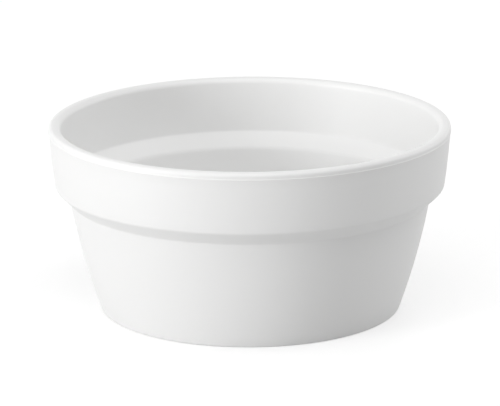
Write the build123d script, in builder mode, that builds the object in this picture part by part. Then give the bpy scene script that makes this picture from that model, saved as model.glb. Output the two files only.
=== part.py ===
"""Ramekin: a small round serving dish, moulded in one piece from white melamine.

One wall is bent twice, so that the same outline shows outside and in: a tapered side,
a shoulder that leans out to a wider collar, and a full round rim. The ledge inside is
the back of the shoulder, and the wall is a little thicker below it.

Millimetres, +Z up. The axis is Z, and the foot ring stands on Z = 0.
"""

import os

from build123d import *

os.makedirs("parts", exist_ok=True)

# Driving sizes
rim_diameter = 82.5
height = 38.5
wall = 2.4

# Side, from the foot up to the corner under the shoulder
side_height = 23.1
side_lean = 6.1
side_bow = 0.5
side_thickening = 0.25

# Shoulder, which leans out from the side to the collar
shoulder_rise = 2.8
shoulder_lean = 2.95
shoulder_thickening = 0.05
shoulder_fillet = 0.35

# Collar, from its lower corner up to the land under the rim
collar_lean = 1.25
collar_fillet = 0.85
collar_bow = 0.08

# Land that the mould leaves between the collar and the rim's widest line
land_step = 0.2
land_height = 1.0

# Foot ring, and the shallow recess inside it
foot_fillet = 0.35
foot_ring_width = 2.2
foot_inner_fillet = 0.5
recess_depth = 0.9
recess_slope_width = 1.1
recess_fillet = 0.9

# Corners inside
ledge_fillet = 0.8
ledge_edge_fillet = 1.6
floor_fillet = 5.0


def set_in(before, corner, after, depth_before, depth_after):
    """Move a corner of the outside line in behind the wall, to the inside line's corner.

    Args: three neighbouring (r, z) points, walked with the wall on the left, and the
        wall's depth behind the face that arrives and behind the face that leaves.
    Returns: the (r, z) point that lies at those depths behind the two faces.
    """
    arriving = (Vector(*corner) - Vector(*before)).normalized()
    leaving = (Vector(*after) - Vector(*corner)).normalized()
    normal_before = Vector(-arriving.Y, arriving.X)
    normal_after = Vector(-leaving.Y, leaving.X)
    shared = normal_before.dot(normal_after)
    reach_before = (depth_before - shared * depth_after) / (1 - shared**2)
    reach_after = (depth_after - shared * depth_before) / (1 - shared**2)
    inside = Vector(*corner) + normal_before * reach_before + normal_after * reach_after
    return (inside.X, inside.Y)


def corner_of(sketch, point):
    """The vertex of a sketch that lies nearest to an outline point."""
    return sketch.vertices().sort_by_distance(Vector(*point))[0]


# Outside line, from the middle of the recess out and up to the rim
rim_radius = rim_diameter / 2
collar_radius = rim_radius - collar_lean
shoulder_radius = collar_radius - shoulder_lean
foot_radius = shoulder_radius - side_lean
rim_round = (wall + land_step) / 2
rim_line_height = height - rim_round

recess_middle = (0, recess_depth)
foot_inner_edge = (foot_radius - foot_ring_width, 0)
recess_edge = (foot_inner_edge[0] - recess_slope_width, recess_depth)
foot_edge = (foot_radius, 0)
shoulder = (shoulder_radius, side_height)
collar_corner = (collar_radius, side_height + shoulder_rise)
land_foot = (rim_radius - land_step, rim_line_height - land_height)
rim_outer = (rim_radius, rim_line_height)

# Inside line, from the rim down to the middle of the floor
shoulder_wall = wall + shoulder_thickening
side_wall = wall + side_thickening
rim_inner = (rim_radius - 2 * rim_round, rim_line_height)
ledge_corner = set_in(shoulder, collar_corner, land_foot, shoulder_wall, wall)
ledge_edge = set_in(foot_edge, shoulder, collar_corner, side_wall, shoulder_wall)
side_rise_share = recess_depth / side_height
side_at_floor = (foot_radius + side_lean * side_rise_share, recess_depth)
floor_corner = set_in(recess_middle, side_at_floor, shoulder, wall, side_wall)
floor_middle = (0, floor_corner[1])

# The dish: half its section, turned once round the axis
with BuildPart() as bowl:
    with BuildSketch(Plane.XZ) as section:
        with BuildLine():
            Polyline(recess_middle, recess_edge, foot_inner_edge, foot_edge)
            SagittaArc(foot_edge, shoulder, -side_bow)
            Line(shoulder, collar_corner)
            SagittaArc(collar_corner, land_foot, -collar_bow)
            Line(land_foot, rim_outer)
            TangentArc(rim_outer, rim_inner, tangent=(0, 1))
            TangentArc(rim_inner, ledge_corner, tangent=(0, -1))
            Line(ledge_corner, ledge_edge)
            SagittaArc(ledge_edge, floor_corner, side_bow)
            Polyline(floor_corner, floor_middle, recess_middle)
        make_face()
        fillet(corner_of(section, recess_edge), recess_fillet)
        fillet(corner_of(section, foot_inner_edge), foot_inner_fillet)
        fillet(corner_of(section, foot_edge), foot_fillet)
        fillet(corner_of(section, shoulder), shoulder_fillet)
        fillet(corner_of(section, collar_corner), collar_fillet)
        fillet(corner_of(section, ledge_corner), ledge_fillet)
        fillet(corner_of(section, ledge_edge), ledge_edge_fillet)
        fillet(corner_of(section, floor_corner), floor_fillet)
    revolve(axis=Axis.Z)

bowl.part.label = "bowl"
export_step(bowl.part, "parts/bowl.step")
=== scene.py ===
"""Ramekin, dressed for its portrait: the moulded white dish, its finish, table and light.

Metres, +Z up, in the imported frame. The dish is one turned piece. Half of its section is
drawn as a chain of edges, its small corners are rounded, and it is spun round the axis.
"""

import logging
import math
from dataclasses import dataclass
from enum import Enum, IntEnum

import bmesh
import bpy
from mathutils import Matrix, Vector


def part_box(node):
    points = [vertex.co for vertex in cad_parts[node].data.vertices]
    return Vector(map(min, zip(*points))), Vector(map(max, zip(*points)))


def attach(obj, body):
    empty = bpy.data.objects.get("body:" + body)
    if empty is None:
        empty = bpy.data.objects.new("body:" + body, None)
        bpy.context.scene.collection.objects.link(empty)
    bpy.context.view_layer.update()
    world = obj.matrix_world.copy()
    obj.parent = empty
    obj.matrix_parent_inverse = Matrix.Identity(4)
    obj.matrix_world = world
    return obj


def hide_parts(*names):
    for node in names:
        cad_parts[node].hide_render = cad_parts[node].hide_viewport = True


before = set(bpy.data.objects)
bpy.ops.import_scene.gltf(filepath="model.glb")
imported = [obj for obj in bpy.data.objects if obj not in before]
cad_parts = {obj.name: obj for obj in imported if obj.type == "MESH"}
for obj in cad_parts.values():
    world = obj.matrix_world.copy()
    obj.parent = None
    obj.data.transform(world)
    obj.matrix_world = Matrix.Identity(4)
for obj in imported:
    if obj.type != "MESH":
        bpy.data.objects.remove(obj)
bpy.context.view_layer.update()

log = logging.getLogger("ramekin")

Colour = tuple[float, float, float, float]

# The distance of a Bump node that counts its heights in metres
METRE = 1.0

# The value round which every pattern swings
PATTERN_MIDDLE = 0.5


def even_grey(value: float) -> Colour:
    """The colour without a tint that has a value."""
    return (value, value, value, 1)


class Socket:
    """A shader value that is worked with in Python expressions."""

    def __init__(self, graph: "NodeGraph", link: bpy.types.NodeSocket | None) -> None:
        """Wrap one output socket of a graph, or none for a node that has no output."""
        self.graph = graph
        self.link = link

    def _math(self, operation: str, *values: "Socket | float") -> "Socket":
        """Add one Math node for an operation on values."""
        return self.graph.add(
            "ShaderNodeMath", {"operation": operation}, dict(enumerate(values))
        )

    def __add__(self, other: "Socket | float") -> "Socket":
        """Sum of two values."""
        return self._math("ADD", self, other)

    def __radd__(self, other: float) -> "Socket":
        """Sum that starts with a number."""
        return self._math("ADD", other, self)

    def __sub__(self, other: "Socket | float") -> "Socket":
        """Difference of two values."""
        return self._math("SUBTRACT", self, other)

    def __rsub__(self, other: float) -> "Socket":
        """Difference that starts with a number."""
        return self._math("SUBTRACT", other, self)

    def __mul__(self, other: "Socket | float") -> "Socket":
        """Product of two values."""
        return self._math("MULTIPLY", self, other)

    def __rmul__(self, other: float) -> "Socket":
        """Product that starts with a number."""
        return self._math("MULTIPLY", other, self)

    def band(self, low: float, high: float) -> "Socket":
        """Smooth mask that is 0 at low and 1 at high.

        Args:
            low: the value at which the mask is 0.
            high: the value at which the mask is 1; it may be below low.

        Returns:
            The mask.
        """
        start, end = sorted((low, high))
        flipped = high < low
        return self.graph.add(
            "ShaderNodeMapRange",
            {"interpolation_type": "SMOOTHSTEP", "clamp": True},
            {
                "Value": self,
                "From Min": start,
                "From Max": end,
                "To Min": 1.0 if flipped else 0.0,
                "To Max": 0.0 if flipped else 1.0,
            },
        )


class MixSocket(IntEnum):
    """Places of a Mix node's colour sockets, whose names its other sockets share."""

    SHARE = 0
    FIRST = 6
    SECOND = 7
    RESULT = 2


class NodeGraph:
    """The nodes of one material or world, added from Python values."""

    def __init__(self, tree: bpy.types.NodeTree) -> None:
        """Take over a node tree and clear it."""
        self.tree = tree
        tree.nodes.clear()

    def add(
        self,
        kind: str,
        settings: dict[str, object] | None = None,
        inputs: dict[int | str, object] | None = None,
        output: int | str = 0,
    ) -> Socket:
        """Add one node.

        Args:
            kind: the node's type.
            settings: the node's own settings, which are made first.
            inputs: numbers, colours or sockets for the node's inputs, by name or place.
            output: the name or place of the output that is handed back.

        Returns:
            The chosen output, which is empty for a node that has none.
        """
        node = self.tree.nodes.new(kind)
        for name, value in (settings or {}).items():
            setattr(node, name, value)
        for name, value in (inputs or {}).items():
            if isinstance(value, Socket):
                self.tree.links.new(value.link, node.inputs[name])
            else:
                node.inputs[name].default_value = value
        return Socket(self, node.outputs[output] if node.outputs else None)

    def skin(self, height: Socket) -> Socket:
        """Surface normal of a relief whose height is in metres."""
        return self.add("ShaderNodeBump", inputs={"Height": height, "Distance": METRE})

    def background_rays(self) -> Socket:
        """Mask of the rays that see a background: the camera's, a gloss's and a glass's."""
        camera, gloss, glass = (
            self.add("ShaderNodeLightPath", output=f"Is {kind} Ray")
            for kind in ("Camera", "Glossy", "Transmission")
        )
        return camera + gloss + glass


@dataclass(frozen=True)
class Pattern:
    """An even, mottled pattern, with the depth of its relief in metres."""

    per_metre: float
    octaves: float
    harshness: float = 0.5
    depth: float = 0

    def draw(self, graph: NodeGraph, place: Socket) -> Socket:
        """Spread the pattern over a piece.

        Args:
            graph: the material's nodes.
            place: the coordinates that carry the pattern.

        Returns:
            The pattern, from 0 to 1.
        """
        return graph.add(
            "ShaderNodeTexNoise",
            {"noise_dimensions": "3D", "normalize": True},
            {
                "Vector": place,
                "Scale": self.per_metre,
                "Detail": self.octaves,
                "Roughness": self.harshness,
            },
        )


@dataclass(frozen=True)
class WhiteMelamine:
    """Moulded white melamine: even, hard and softly glossy, a little worn where it is used.

    The flow is the long wave that moulding leaves in the skin, the peel its fine dimples,
    and the grain the tooth of the polished mould. Below foot_height the foot ring carries
    painted contact shade, darkest at the table and mottled by scuffs, and below well_height
    spoons have marked the floor. Depths and heights are in metres, and the direction of the
    spoon marks is in radians.
    """

    slot: str = "white_melamine"
    white: float = 0.87
    shaded_and_worn_white: float = 0.80
    warmth: float = 0.995
    roughness: float = 0.46
    refraction: float = 1.6
    flow: Pattern = Pattern(per_metre=55, octaves=1, harshness=0.4, depth=12e-6)
    peel: Pattern = Pattern(per_metre=1400, octaves=2, depth=1.6e-6)
    grain: Pattern = Pattern(per_metre=9000, octaves=1, depth=0.3e-6)
    flow_shade: float = 0.06
    peel_gloss: float = 0.08
    contact_shade_and_wear_share: float = 0.5
    wear_gloss: float = 0.22
    wear_depth: float = 2e-6
    scuffs: Pattern = Pattern(per_metre=700, octaves=3, harshness=0.6)
    scuff_edges: tuple[float, float] = (0.45, 0.75)
    foot_height: float = 0.0004
    foot_contact_shade: float = 0.4
    spoon_marks: Pattern = Pattern(per_metre=1100, octaves=1)
    spoon_edges: tuple[float, float] = (0.60, 0.66)
    spoon_direction: float = 0.6
    spoon_stretch: float = 0.08
    spoon_wear: float = 0.35
    well_height: float = 0.0085

    def make(self) -> bpy.types.Material:
        """Build the material.

        Returns:
            The material, which reads Object coordinates.
        """
        material = bpy.data.materials.new(self.slot)
        material.use_nodes = True
        graph = NodeGraph(material.node_tree)
        place = graph.add("ShaderNodeTexCoord", output="Object")
        flow = self.flow.draw(graph, place)
        peel = self.peel.draw(graph, place)
        grain = self.grain.draw(graph, place)
        shade_and_wear_mask = self._contact_shade_and_wear(graph, place)
        # The darker white paints contact shade along the bottom of the foot, besides its scuffs
        # and the spoon marks
        shade = graph.add(
            "ShaderNodeMix",
            {"data_type": "RGBA"},
            {
                MixSocket.SHARE: shade_and_wear_mask * self.contact_shade_and_wear_share
                + (flow - PATTERN_MIDDLE) * self.flow_shade,
                MixSocket.FIRST: self._tint(self.white),
                MixSocket.SECOND: self._tint(self.shaded_and_worn_white),
            },
            MixSocket.RESULT,
        )
        gloss = (
            self.roughness
            + (peel - PATTERN_MIDDLE) * self.peel_gloss
            + shade_and_wear_mask * self.wear_gloss
        )
        relief = (
            flow * self.flow.depth
            + peel * self.peel.depth
            + grain * self.grain.depth
            - shade_and_wear_mask * self.wear_depth
        )
        shader = graph.add(
            "ShaderNodeBsdfPrincipled",
            inputs={
                "Base Color": shade,
                "Roughness": gloss,
                "IOR": self.refraction,
                "Normal": graph.skin(relief),
            },
        )
        graph.add("ShaderNodeOutputMaterial", inputs={"Surface": shader})
        return material

    def _tint(self, white: float) -> Colour:
        """A white with the faint warmth of the material."""
        return (white, white, white * self.warmth, 1)

    def _contact_shade_and_wear(self, graph: NodeGraph, place: Socket) -> Socket:
        """Mask of the painted contact shade and scuffs at the foot, and the spoon marks in the
        well.

        Args:
            graph: the material's nodes.
            place: Object coordinates.

        Returns:
            The mask, 0 where the skin is as moulded.
        """
        height = graph.add("ShaderNodeSeparateXYZ", inputs={0: place}, output="Z")
        scuffs = self.scuffs.draw(graph, place).band(*self.scuff_edges)
        # Painted contact shade: an even darkening of the band under foot_height, deepest at the
        # table, with scuffs mottling it
        foot = self.foot_contact_shade + (1 - self.foot_contact_shade) * scuffs
        drawn = graph.add(
            "ShaderNodeMapping",
            {"vector_type": "TEXTURE"},
            {
                "Vector": place,
                "Rotation": (0, 0, self.spoon_direction),
                "Scale": (self.spoon_stretch, 1, 1),
            },
        )
        marks = self.spoon_marks.draw(graph, drawn).band(*self.spoon_edges) * self.spoon_wear
        return height.band(self.foot_height, 0) * foot + height.band(self.well_height, 0) * marks


@dataclass(frozen=True)
class PaleTable:
    """The plain pale table that the dish stands on.

    The lift is a glow that only the camera, gloss and glass see. It brings the table up
    to plain white where the dish doesn't shade it.
    """

    half_side: float = 1.5
    clearance: float = 0.00002
    white: float = 0.58
    roughness: float = 0.6
    lift: float = 0.48
    tooth: Pattern = Pattern(per_metre=900, octaves=2, depth=10e-6)

    def build(self) -> bpy.types.Object:
        """Lay the table top under the foot, a hair clear of it.

        Returns:
            The table top, which is part of the stage.
        """
        mesh = bmesh.new()
        bmesh.ops.create_grid(
            mesh,
            x_segments=1,
            y_segments=1,
            size=self.half_side,
            matrix=Matrix.Translation((0, 0, -self.clearance)),
        )
        top = solid_object("table", mesh, self._finish())
        return top

    def _finish(self) -> bpy.types.Material:
        """Make a matt white that reads as plain white behind the dish and keeps its shadow.

        Returns:
            The material, which reads Object coordinates.
        """
        material = bpy.data.materials.new("table_white")
        material.use_nodes = True
        graph = NodeGraph(material.node_tree)
        place = graph.add("ShaderNodeTexCoord", output="Object")
        tooth = self.tooth.draw(graph, place) * self.tooth.depth
        board = graph.add(
            "ShaderNodeBsdfPrincipled",
            inputs={
                "Base Color": even_grey(self.white),
                "Roughness": self.roughness,
                "Normal": graph.skin(tooth),
            },
        )
        glow = graph.add(
            "ShaderNodeEmission", inputs={"Color": even_grey(1), "Strength": self.lift}
        )
        lifted = graph.add("ShaderNodeAddShader", inputs={0: board, 1: glow})
        seen = graph.background_rays()
        surface = graph.add("ShaderNodeMixShader", inputs={0: seen, 1: board, 2: lifted})
        graph.add("ShaderNodeOutputMaterial", inputs={"Surface": surface})
        return material


@dataclass
class OutlinePen:
    """Draws a half section as one chain of edges: radius along X, height along Z."""

    mesh: bmesh.types.BMesh
    start: Vector
    longest_edge: float = 0.0012
    largest_turn: float = math.radians(6)

    def __post_init__(self) -> None:
        """Put the pen down at the start."""
        self.tip = self.mesh.verts.new((self.start.x, 0, self.start.y))
        self.corners: list[tuple[bmesh.types.BMVert, float]] = []

    @property
    def at(self) -> Vector:
        """The (radius, height) point that the pen has reached."""
        return Vector((self.tip.co.x, self.tip.co.z))

    def line(self, end: Vector, corner: float = 0) -> None:
        """Draw a straight line in equal edges.

        Args:
            end: the (radius, height) point to reach.
            corner: the radius to which the end is rounded once the outline is whole.
        """
        reach = end - self.at
        steps = math.ceil(reach.length / self.longest_edge)
        stride = reach / steps
        for _ in range(steps):
            made = bmesh.ops.extrude_vert_indiv(self.mesh, verts=[self.tip])
            self.tip = made["verts"][0]
            self.tip.co += Vector((stride.x, 0, stride.y))
        self._note(corner)

    def arc(self, end: Vector, centre: Vector, corner: float = 0) -> None:
        """Draw the shorter arc about a centre in equal edges.

        Args:
            end: the (radius, height) point to reach.
            centre: the arc's centre.
            corner: the radius to which the end is rounded once the outline is whole.
        """
        angle = (end - centre).angle_signed(self.at - centre)
        turns = abs(angle) / self.largest_turn
        edges = abs(angle) * (end - centre).length / self.longest_edge
        made = bmesh.ops.spin(
            self.mesh,
            geom=[self.tip],
            cent=(centre.x, 0, centre.y),
            axis=(0, 1, 0),
            angle=-angle,
            steps=math.ceil(max(turns, edges)),
        )
        self.tip = next(v for v in made["geom_last"] if isinstance(v, bmesh.types.BMVert))
        self._note(corner)

    def _note(self, radius: float) -> None:
        """Remember a corner that is to be rounded, where its radius isn't 0."""
        if radius:
            self.corners.append((self.tip, radius))

    def round_corners(self) -> None:
        """Round every remembered corner to its radius."""
        for vertex, radius in self.corners:
            before, after = (edge.other_vert(vertex) for edge in vertex.link_edges)
            turn = math.pi - (before.co - vertex.co).angle(after.co - vertex.co)
            bmesh.ops.bevel(
                self.mesh,
                geom=[vertex],
                offset=radius * math.tan(turn / 2),
                offset_type="OFFSET",
                affect="VERTICES",
                segments=math.ceil(turn / self.largest_turn),
                profile=0.5,
                material=-1,
            )


def left_of(direction: Vector) -> Vector:
    """The unit vector a quarter turn to the left of a flat direction."""
    return Vector((-direction.y, direction.x)).normalized()


def bow_centre(start: Vector, end: Vector, bow: float) -> Vector:
    """Centre of the arc between two points whose middle stands to the left by a bow.

    Args:
        start: the arc's first point.
        end: the arc's last point.
        bow: how far the middle stands off the chord, to the left where it is positive.

    Returns:
        The arc's centre.
    """
    chord = end - start
    radius = chord.length_squared / (8 * bow) + bow / 2
    return (start + end) / 2 + left_of(chord) * (bow - radius)


def set_in(
    before: Vector, corner: Vector, after: Vector, depth_before: float, depth_after: float
) -> Vector:
    """Move a corner of the outside line in behind the wall, to the inside line's corner.

    Args:
        before: the outside point before the corner.
        corner: the outside corner.
        after: the outside point after the corner.
        depth_before: the wall's depth behind the face that arrives.
        depth_after: the wall's depth behind the face that leaves.

    Returns:
        The corner at those depths, to the left of the line.
    """
    arriving, leaving = left_of(corner - before), left_of(after - corner)
    shared = arriving.dot(leaving)
    return (
        corner
        + arriving * (depth_before - shared * depth_after) / (1 - shared**2)
        + leaving * (depth_after - shared * depth_before) / (1 - shared**2)
    )


def solid_object(
    name: str, mesh: bmesh.types.BMesh, material: bpy.types.Material
) -> bpy.types.Object:
    """Turn a finished bmesh into an object at the origin.

    Args:
        name: the object's name.
        mesh: the bmesh, which is freed.
        material: the finish of all its faces.

    Returns:
        The object, smooth all over.
    """
    for face in mesh.faces:
        face.smooth = True
    data = bpy.data.meshes.new(name)
    mesh.to_mesh(data)
    mesh.free()
    data.materials.append(material)
    made = bpy.data.objects.new(name, data)
    bpy.context.scene.collection.objects.link(made)
    return made


@dataclass(frozen=True)
class Dish:
    """The whole dish: foot ring, tapered side, shoulder, collar, rim, ledge and well.

    The land is the narrow step that the mould leaves under the rim, and the scar the
    trimmed edge on top of it. The steps and drops of both are taken from the rim's widest
    line and from its top.
    """

    rim_radius: float
    height: float
    finish: WhiteMelamine
    wall: float = 0.0024
    side_height: float = 0.0231
    side_lean: float = 0.0061
    side_bow: float = 0.0005
    side_thickening: float = 0.00025
    shoulder_rise: float = 0.0028
    shoulder_lean: float = 0.00295
    shoulder_thickening: float = 0.00005
    shoulder_round: float = 0.0009
    collar_lean: float = 0.00125
    collar_round: float = 0.001
    collar_bow: float = 0.00008
    land_step: float = 0.0002
    land_foot_drop: float = 0.0023
    scar_step: float = 0.00007
    scar_drop: float = 0.0013
    scar_height: float = 0.00012
    scar_corner_round: float = 0.00003
    rim_outer_round: float = 0.0008
    rim_inner_round: float = 0.0012
    foot_round: float = 0.00035
    foot_ring_width: float = 0.0022
    foot_inner_round: float = 0.0005
    recess_depth: float = 0.0009
    recess_slope_width: float = 0.0011
    recess_round: float = 0.0009
    ledge_round: float = 0.0008
    ledge_edge_round: float = 0.0016
    floor_round: float = 0.005
    turns: int = 288
    weld_distance: float = 0.000001

    @property
    def side_wall(self) -> float:
        """The wall of the side, which is a little thicker than the collar's."""
        return self.wall + self.side_thickening

    def build(self) -> bpy.types.Object:
        """Draw, round and spin the section.

        Returns:
            The dish, which stands for the node bowl.
        """
        mesh = bmesh.new()
        self._draw(mesh)
        bmesh.ops.spin(
            mesh,
            geom=mesh.verts[:] + mesh.edges[:],
            axis=(0, 0, 1),
            angle=math.tau,
            steps=self.turns,
            use_merge=True,
        )
        bmesh.ops.remove_doubles(mesh, verts=mesh.verts, dist=self.weld_distance)
        bmesh.ops.recalc_face_normals(mesh, faces=mesh.faces)
        dish = solid_object("dish", mesh, self.finish.make())
        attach(dish, "root")
        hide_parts("bowl")
        return dish

    def _draw(self, mesh: bmesh.types.BMesh) -> None:
        """Draw the half section, from the recess round the outside and down to the floor.

        Args:
            mesh: the empty bmesh that takes the section.
        """
        collar_radius = self.rim_radius - self.collar_lean
        side_radius = collar_radius - self.shoulder_lean
        foot_radius = side_radius - self.side_lean

        recess = Vector((0, self.recess_depth))
        foot_inner = Vector((foot_radius - self.foot_ring_width, 0))
        recess_edge = Vector((foot_inner.x - self.recess_slope_width, self.recess_depth))
        foot = Vector((foot_radius, 0))
        shoulder = Vector((side_radius, self.side_height))
        collar = Vector((collar_radius, self.side_height + self.shoulder_rise))
        land_foot = Vector(
            (self.rim_radius - self.land_step, self.height - self.land_foot_drop)
        )

        pen = OutlinePen(mesh, recess)
        pen.line(recess_edge, self.recess_round)
        pen.line(foot_inner, self.foot_inner_round)
        pen.line(foot, self.foot_round)
        pen.arc(shoulder, bow_centre(foot, shoulder, -self.side_bow), self.shoulder_round)
        pen.line(collar, self.collar_round)
        pen.arc(land_foot, bow_centre(collar, land_foot, -self.collar_bow))
        rim_inner = self._draw_rim(pen)

        shoulder_wall = self.wall + self.shoulder_thickening
        ledge = set_in(shoulder, collar, land_foot, shoulder_wall, self.wall)
        ledge_edge = set_in(foot, shoulder, collar, self.side_wall, shoulder_wall)
        # The collar's inside leaves the rim straight down
        fall = rim_inner - ledge
        inner_bow = fall.length / 2 * math.tan(math.atan2(fall.x, fall.y) / 2)
        pen.arc(ledge, bow_centre(rim_inner, ledge, inner_bow), self.ledge_round)
        pen.line(ledge_edge, self.ledge_edge_round)
        self._draw_well(pen, foot, shoulder, ledge_edge)
        pen.round_corners()

    def _draw_rim(self, pen: OutlinePen) -> Vector:
        """Draw the land, the scar on top of it, and the rim with two rounds and a flat.

        Args:
            pen: the pen, at the foot of the land.

        Returns:
            The point at which the rim's inner round ends.
        """
        land_top = Vector((self.rim_radius, self.height - self.scar_drop))
        scar_top = land_top + Vector((-self.scar_step, self.scar_height))
        outer_centre = Vector(
            (scar_top.x - self.rim_outer_round, self.height - self.rim_outer_round)
        )
        inner_centre = Vector(
            (
                self.rim_radius - self.land_step - self.wall + self.rim_inner_round,
                self.height - self.rim_inner_round,
            )
        )
        rim_inner = inner_centre - Vector((self.rim_inner_round, 0))
        pen.line(land_top, self.scar_corner_round)
        pen.line(scar_top, self.scar_corner_round)
        pen.line(outer_centre + Vector((self.rim_outer_round, 0)))
        pen.arc(outer_centre + Vector((0, self.rim_outer_round)), outer_centre)
        pen.line(inner_centre + Vector((0, self.rim_inner_round)))
        pen.arc(rim_inner, inner_centre)
        return rim_inner

    def _draw_well(
        self, pen: OutlinePen, foot: Vector, shoulder: Vector, ledge_edge: Vector
    ) -> None:
        """Draw the inside of the side, the round at its foot and the floor.

        Args:
            pen: the pen, at the ledge's lower edge.
            foot: the outside corner of the foot.
            shoulder: the outside corner under the shoulder.
            ledge_edge: the inside corner behind the shoulder.
        """
        floor_height = self.recess_depth + self.wall
        outside = foot.lerp(shoulder, self.recess_depth / self.side_height)
        below = Vector((0, self.recess_depth))
        floor_corner = set_in(below, outside, shoulder, self.wall, self.side_wall)
        side_centre = bow_centre(ledge_edge, floor_corner, self.side_bow)

        # The round between the side and the floor touches both
        side_radius = (ledge_edge - side_centre).length
        reach = side_radius - self.floor_round
        rise = floor_height + self.floor_round - side_centre.y
        round_centre = Vector(
            (
                side_centre.x + math.sqrt(reach**2 - rise**2),
                floor_height + self.floor_round,
            )
        )
        outward = (round_centre - side_centre).normalized()
        pen.arc(round_centre + outward * self.floor_round, side_centre)
        pen.arc(Vector((round_centre.x, floor_height)), round_centre)
        pen.line(Vector((0, floor_height)))


class LampForm(Enum):
    """The outline of a lamp's face."""

    SQUARE = "SQUARE"
    DISC = "DISK"


@dataclass(frozen=True)
class SoftLamp:
    """A broad, even studio lamp that faces the dish.

    Azimuth 0 is the camera's side and 90 its right. Both angles are in degrees.
    """

    name: str
    form: LampForm
    size: float
    watts: float
    azimuth: float
    elevation: float
    distance: float = 1.3

    def hang(self, aim: Vector) -> None:
        """Place the lamp round a point.

        Args:
            aim: the point that the lamp faces.
        """
        data = bpy.data.lights.new(self.name, "AREA")
        data.shape = self.form.value
        data.size = self.size
        data.energy = self.watts
        lamp = bpy.data.objects.new(self.name, data)
        turn, tilt = math.radians(self.azimuth), math.radians(self.elevation)
        away = Vector(
            (
                math.sin(turn) * math.cos(tilt),
                -math.cos(turn) * math.cos(tilt),
                math.sin(tilt),
            )
        )
        lamp.location = aim + away * self.distance
        lamp.rotation_euler = away.to_track_quat("Z", "Y").to_euler()
        bpy.context.scene.collection.objects.link(lamp)


@dataclass(frozen=True)
class Studio:
    """The lamps round the dish, the even light of the room and the white behind it."""

    lamps: tuple[SoftLamp, ...] = (
        SoftLamp("key", LampForm.SQUARE, size=0.5, watts=9.1, azimuth=-60, elevation=10),
        SoftLamp("top", LampForm.DISC, size=1.35, watts=6.2, azimuth=0, elevation=70),
        SoftLamp("side", LampForm.SQUARE, size=0.5, watts=1.7, azimuth=105, elevation=40),
        SoftLamp("edge", LampForm.SQUARE, size=0.5, watts=1.6, azimuth=120, elevation=15),
        SoftLamp("back", LampForm.SQUARE, size=1.2, watts=1.1, azimuth=180, elevation=10),
    )
    room: float = 0.405
    backdrop: float = 1.0

    def light(self, aim: Vector) -> None:
        """Hang the lamps round a point and set the room's light.

        Args:
            aim: the point that the lamps face.
        """
        for lamp in self.lamps:
            lamp.hang(aim)
        world = bpy.data.worlds.new("room")
        world.use_nodes = True
        graph = NodeGraph(world.node_tree)
        even, white = (
            graph.add(
                "ShaderNodeBackground",
                inputs={"Color": even_grey(1), "Strength": strength},
            )
            for strength in (self.room, self.backdrop)
        )
        seen = graph.background_rays()
        surface = graph.add("ShaderNodeMixShader", inputs={0: seen, 1: even, 2: white})
        graph.add("ShaderNodeOutputWorld", inputs={"Surface": surface})
        bpy.context.scene.world = world


@dataclass(frozen=True)
class PortraitCamera:
    """The camera of the photograph, in front of the dish and a little above it.

    Angles are in degrees, and the lens and the sensor in millimetres. The camera looks
    straight down when nothing turns it.
    """

    distance: float = 0.675
    height: float = 0.2078
    level: float = 90
    pitch: float = 15.446
    roll: float = 0.3
    focal_length: float = 244.7
    sensor_width: float = 36
    nearest: float = 0.01
    farthest: float = 20

    def set_up(self) -> None:
        """Stand the camera in its place and look through it."""
        data = bpy.data.cameras.new("portrait")
        data.sensor_width = self.sensor_width
        data.lens = self.focal_length
        data.clip_start = self.nearest
        data.clip_end = self.farthest
        camera = bpy.data.objects.new("portrait", data)
        camera.matrix_world = (
            Matrix.Translation((0, -self.distance, self.height))
            @ Matrix.Rotation(math.radians(self.level - self.pitch), 4, "X")
            @ Matrix.Rotation(math.radians(-self.roll), 4, "Z")
        )
        bpy.context.scene.collection.objects.link(camera)
        bpy.context.scene.camera = camera


def main() -> None:
    """Build the dish, its table, the light and the camera, in that order."""
    logging.basicConfig(level=logging.INFO, format="%(name)s: %(message)s")
    low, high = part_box("bowl")
    rim_radius = min(-low.x, -low.y, high.x, high.y)
    for piece in (Dish(rim_radius, high.z, WhiteMelamine()), PaleTable()):
        made = piece.build()
        log.info("%s: %d faces", made.name, len(made.data.polygons))
    Studio().light(Vector((0, 0, high.z / 2)))
    PortraitCamera().set_up()
    bpy.context.scene.view_settings.view_transform = "Standard"


if __name__ == "__main__":
    main()
